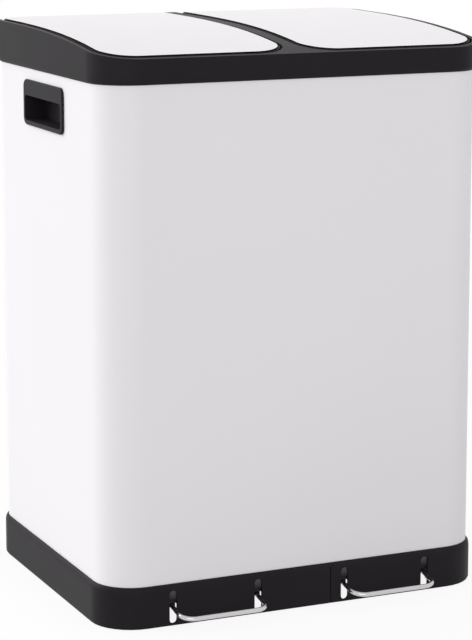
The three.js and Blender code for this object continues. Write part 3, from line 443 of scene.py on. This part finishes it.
def bend_to_lid(bm):
    """Bends a sheet that lies flat at zero to the lid's top, then round the hinge behind it."""
    for v in bm.verts:
        if v.co.y <= HINGE_Y:
            v.co.z += lid_top(v.co.y)
        else:
            turn = (v.co.y - HINGE_Y) / ROLL_R
            reach = ROLL_R + v.co.z
            v.co.y = HINGE_Y + reach * math.sin(turn)
            v.co.z = HINGE_Z + reach * math.cos(turn)


def make_cover(side, name):
    """Painted sheet cover with a softly rolled edge, and below it a black hem in the liner's plastic: it
    stands for the liner's black edge and is painted shade of the gap between cover and liner.
    """
    bm = bmesh.new()
    x0, x1 = sorted((side * COVER_X[0], side * COVER_X[1]))
    rear = HINGE_Y + ROLL_R * ROLL_TURN
    big, small = COVER_R, COVER_HINGE_R
    radii = [big, big, small, big] if side > 0 else [big, small, big, big]
    plate = rounded_plate(bm, x0, x1, COVER_FRONT_Y, rear, -COVER_EDGE, radii, COVER_STEPS)
    turns = [math.pi / 2 * i / EDGE_STEPS for i in range(EDGE_STEPS + 1)]
    for low, high in zip(turns, turns[1:]):
        inward = max(COVER_EDGE * (math.cos(low) - math.cos(high)), LEAST_INSET)
        bmesh.ops.inset_region(bm, faces=[plate], thickness=inward, use_even_offset=True)
        rise = COVER_EDGE * (math.sin(high) - math.sin(low))
        bmesh.ops.translate(bm, vec=(0, 0, rise), verts=plate.verts)
    # A black hem hangs below the white edge: painted shade of the gap down to the liner, in the liner's
    # plastic.
    painted_shade_hem = bmesh.ops.extrude_edge_only(bm, edges=[e for e in bm.edges if e.is_boundary])["geom"]
    bmesh.ops.translate(bm, vec=(0, 0, -COVER_HEM), verts=verts_of(painted_shade_hem))
    for face in faces_of(painted_shade_hem):
        face.material_index = 1
    for y in COVER_BENDS:
        cut_across(bm, (0, y, 0), (0, 1, 0))
    bend_to_lid(bm)
    piece = to_piece(bm, f"lid_cover_{name}_sheet", f"{name}_lid", WHITE_PAINT,
                     sharp=COVER_SHARP_TURN)
    piece.data.materials.append(LINER_PLASTIC_AND_PAINTED_SHADE)
    even_shading(piece)
    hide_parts(f"lid_cover_{name}")


# ---- Pedals --------------------------------------------------------------------------------------


def bent_wire(bm, points):
    """A round wire swept straight between points and spun round each bend."""
    heading = (points[1] - points[0]).normalized()
    start = heading.to_track_quat("Z", "Y").to_matrix().to_4x4()
    ring = bmesh.ops.create_circle(bm, cap_ends=True, segments=WIRE_SIDES, radius=WIRE_R,
                                   matrix=Matrix.Translation(points[0]) @ start)["verts"]
    end = list({f for v in ring for f in v.link_faces})
    here = points[0].copy()
    for i in range(1, len(points)):
        target = points[i]
        if i < len(points) - 1:
            after = (points[i + 1] - target).normalized()
            turn = heading.angle(after)
            target = target - heading * (WIRE_BEND * math.tan(turn / 2))
        end = faces_of(bmesh.ops.extrude_face_region(bm, geom=end)["geom"])
        bmesh.ops.translate(bm, vec=target - here, verts=list({v for f in end for v in f.verts}))
        here = target.copy()
        if i < len(points) - 1:
            axis = heading.cross(after).normalized()
            centre = here + axis.cross(heading).normalized() * WIRE_BEND
            steps = max(2, round(WIRE_TURN_STEPS * turn / (math.pi / 2)))
            spun = bmesh.ops.spin(bm, geom=end, cent=centre, axis=axis, angle=turn, steps=steps,
                                  use_merge=False, use_duplicate=False)["geom_last"]
            end = faces_of(spun)
            here = centre + Matrix.Rotation(turn, 3, axis) @ (here - centre)
            heading = after
    bmesh.ops.recalc_face_normals(bm, faces=bm.faces)


def make_pedal(side, name):
    """Chromed wire: two arms from the axle, out through the slots, and the bar between them."""
    near, far = side * PEDAL_X - PEDAL_HALF, side * PEDAL_X + PEDAL_HALF
    path = [Vector((near, *PEDAL_START)), Vector((near, *KNEE)), Vector((near, *PEDAL_BAR)),
            Vector((far, *PEDAL_BAR)), Vector((far, *KNEE)), Vector((far, *PEDAL_START))]
    bm = bmesh.new()
    bent_wire(bm, path)
    piece = to_piece(bm, f"pedal_{name}_wire", f"{name}_pedal", CHROME, sharp=WIRE_SHARP_TURN)
    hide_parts(f"pedal_{name}")


def make_stop(name, end, arm_x):
    """Rubber saddle that hangs over a pedal's arm behind its slot."""
    middle_y = sum(STOP_Y) / 2
    bm = bmesh.new()
    top = bmesh.ops.create_grid(bm, x_segments=3, y_segments=1, size=0.5)["verts"]
    bmesh.ops.scale(bm, vec=(2 * STOP_HALF, STOP_Y[1] - STOP_Y[0], 1), verts=top)
    for v in top:
        if abs(v.co.x) < STOP_HALF / 2:
            v.co.x = math.copysign(STOP_NOTCH, v.co.x)
    bmesh.ops.translate(bm, vec=(arm_x, middle_y, STOP_TOP), verts=top)
    under = bmesh.ops.extrude_face_region(bm, geom=bm.faces[:])["geom"]
    for v in verts_of(under):
        v.co.z = STOP_UNDER[0] if v.co.y < middle_y else STOP_UNDER[1]
    sides = [f for f in faces_of(under) if abs(f.calc_center_median().x - arm_x) > STOP_NOTCH]
    for v in verts_of(bmesh.ops.extrude_face_region(bm, geom=sides)["geom"]):
        v.co.z = STOP_LOW
    bmesh.ops.recalc_face_normals(bm, faces=bm.faces)
    piece = to_piece(bm, f"pedal_stop_{name}_{end}_saddle", "bin", RUBBER)
    round_edges(piece, FINE_EDGE)
    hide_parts(f"pedal_stop_{name}_{end}")


def make_base():
    """The base moulding, with the backs of its slots in dark plastic with painted light that grows
    lighter towards their tops.
    """
    piece = dress("base", "bin", BLACK_PLASTIC, MOULDED_EDGE)
    # The slot backs' material, with its painted light, goes on the recess faces.
    piece.data.materials.append(SLOT_BACK_WITH_PAINTED_LIGHT)
    back_to_mm = PLACE.inverted()
    low, high = SLOT_BACK_Z
    for face in piece.data.polygons:
        middle = back_to_mm @ face.center
        in_slot = abs(middle.y - SLOT_BACK_Y) < SLOT_BACK_NEAR and low < middle.z < high
        if in_slot and face.normal.y < FACES_FRONT:
            face.material_index = 1


# ---- All pieces ----------------------------------------------------------------------------------

make_body()
make_base()
dress("lid_frame", "bin", BLACK_PLASTIC, FRAME_EDGE)
for place in ("front_left", "front_right", "rear_left", "rear_right"):
    dress(f"foot_{place}", "bin", RUBBER, FOOT_EDGE)
for name, side in (("left", -1), ("right", 1)):
    make_cover(side, name)
    make_pedal(side, name)
    dress(f"side_grip_{name}", "bin", BLACK_PLASTIC, MOULDED_EDGE)
    dress(f"lid_liner_{name}", f"{name}_lid", LINER_PLASTIC_AND_PAINTED_SHADE, MOULDED_EDGE)
    dress(f"crank_pin_{name}", f"{name}_lid", PLAIN_STEEL, FINE_EDGE)
    dress(f"lift_rod_{name}", f"{name}_rod", PLAIN_STEEL, SMALL_EDGE)
    dress(f"rod_eye_{name}", f"{name}_rod", GREY_PLASTIC, SMALL_EDGE)
    dress(f"rod_saddle_{name}", f"{name}_rod", GREY_PLASTIC, SMALL_EDGE)
    dress(f"lift_lever_{name}", f"{name}_pedal", PLAIN_STEEL, FINE_EDGE)
    dress(f"pedal_axle_{name}", "bin", PLAIN_STEEL, SMALL_EDGE)
    dress(f"bucket_{name}", f"{name}_bucket", GREY_PLASTIC, BUCKET_EDGE)
    for end, outward in (("inner", -PEDAL_HALF), ("outer", PEDAL_HALF)):
        dress(f"hinge_pin_{name}_{end}", "bin", PLAIN_STEEL, FINE_EDGE)
        dress(f"lid_bumper_{name}_{end}", "bin", RUBBER, SMALL_EDGE)
        make_stop(name, end, side * (PEDAL_X + outward))

# ---- Floor and light -----------------------------------------------------------------------------

FLOOR_HALF = 6
FLOOR_GREY = (0.6, 0.6, 0.6, 1)        # as it lights the object
FLOOR_PALE = (0.93, 0.93, 0.93, 1)     # as it is seen
FLOOR_GLOW, FLOOR_ROUGH = 0.9, 0.9
WHITE = (1, 1, 1, 1)
WORLD_LEVEL = 0.71
LAMP_ANGLE = 50


def seen_directly(tree):
    """1 where the camera, a reflection or a clear material looks, and 0 where light is gathered."""
    path = tree.nodes.new("ShaderNodeLightPath")
    seen = maths(tree, "MAXIMUM", path.outputs["Is Camera Ray"], path.outputs["Is Glossy Ray"])
    return maths(tree, "MAXIMUM", seen, path.outputs["Is Transmission Ray"])


def make_floor():
    """Pale floor: mostly plain white to the eye, with the object's soft shadow on it."""
    bm = bmesh.new()
    bmesh.ops.create_grid(bm, x_segments=1, y_segments=1, size=FLOOR_HALF)
    mesh = bpy.data.meshes.new("floor")
    bm.to_mesh(mesh)
    bm.free()
    floor = bpy.data.objects.new("floor", mesh)
    bpy.context.scene.collection.objects.link(floor)
    material = bpy.data.materials.new("floor_white")
    material.use_nodes = True
    tree = material.node_tree
    shader = tree.nodes["Principled BSDF"]
    seen = seen_directly(tree)
    pale = blend(tree, seen, FLOOR_GREY, FLOOR_PALE)
    tree.links.new(pale, shader.inputs["Base Color"])
    shader.inputs["Roughness"].default_value = FLOOR_ROUGH
    shader.inputs["Specular IOR Level"].default_value = 0.0
    white = add_node(tree, "ShaderNodeEmission", None, Color=WHITE, Strength=1.0)
    share = maths(tree, "MULTIPLY", seen, FLOOR_GLOW)
    both = add_node(tree, "ShaderNodeMixShader", None,
                    i0=share, i1=shader.outputs[0], i2=white.outputs[0])
    tree.links.new(both.outputs[0], tree.nodes["Material Output"].inputs[0])
    mesh.materials.append(material)


def make_world():
    """White for what the camera and reflections see, and a softer grey that lights the object."""
    world = bpy.data.worlds.new("studio")
    bpy.context.scene.world = world
    world.use_nodes = True
    tree = world.node_tree
    tree.nodes.clear()
    strength = remap(tree, seen_directly(tree), 0, 1, WORLD_LEVEL, 1.0)
    light = add_node(tree, "ShaderNodeBackground", None, Color=WHITE, Strength=strength)
    out = tree.nodes.new("ShaderNodeOutputWorld")
    tree.links.new(light.outputs[0], out.inputs[0])


def make_sun(name, towards, strength):
    """A wide soft lamp that shines along a direction."""
    data = bpy.data.lights.new(name, "SUN")
    data.energy = strength
    data.angle = math.radians(LAMP_ANGLE)
    lamp = bpy.data.objects.new(name, data)
    lamp.rotation_euler = Vector(towards).to_track_quat("-Z", "Y").to_euler()
    bpy.context.scene.collection.objects.link(lamp)


make_floor()
make_world()
make_sun("window_light", (0.5, -0.45, -0.33), 1.6)
make_sun("front_softbox", (0.18, 0.39, -0.04), 0.66)
bpy.context.scene.view_settings.view_transform = "Standard"
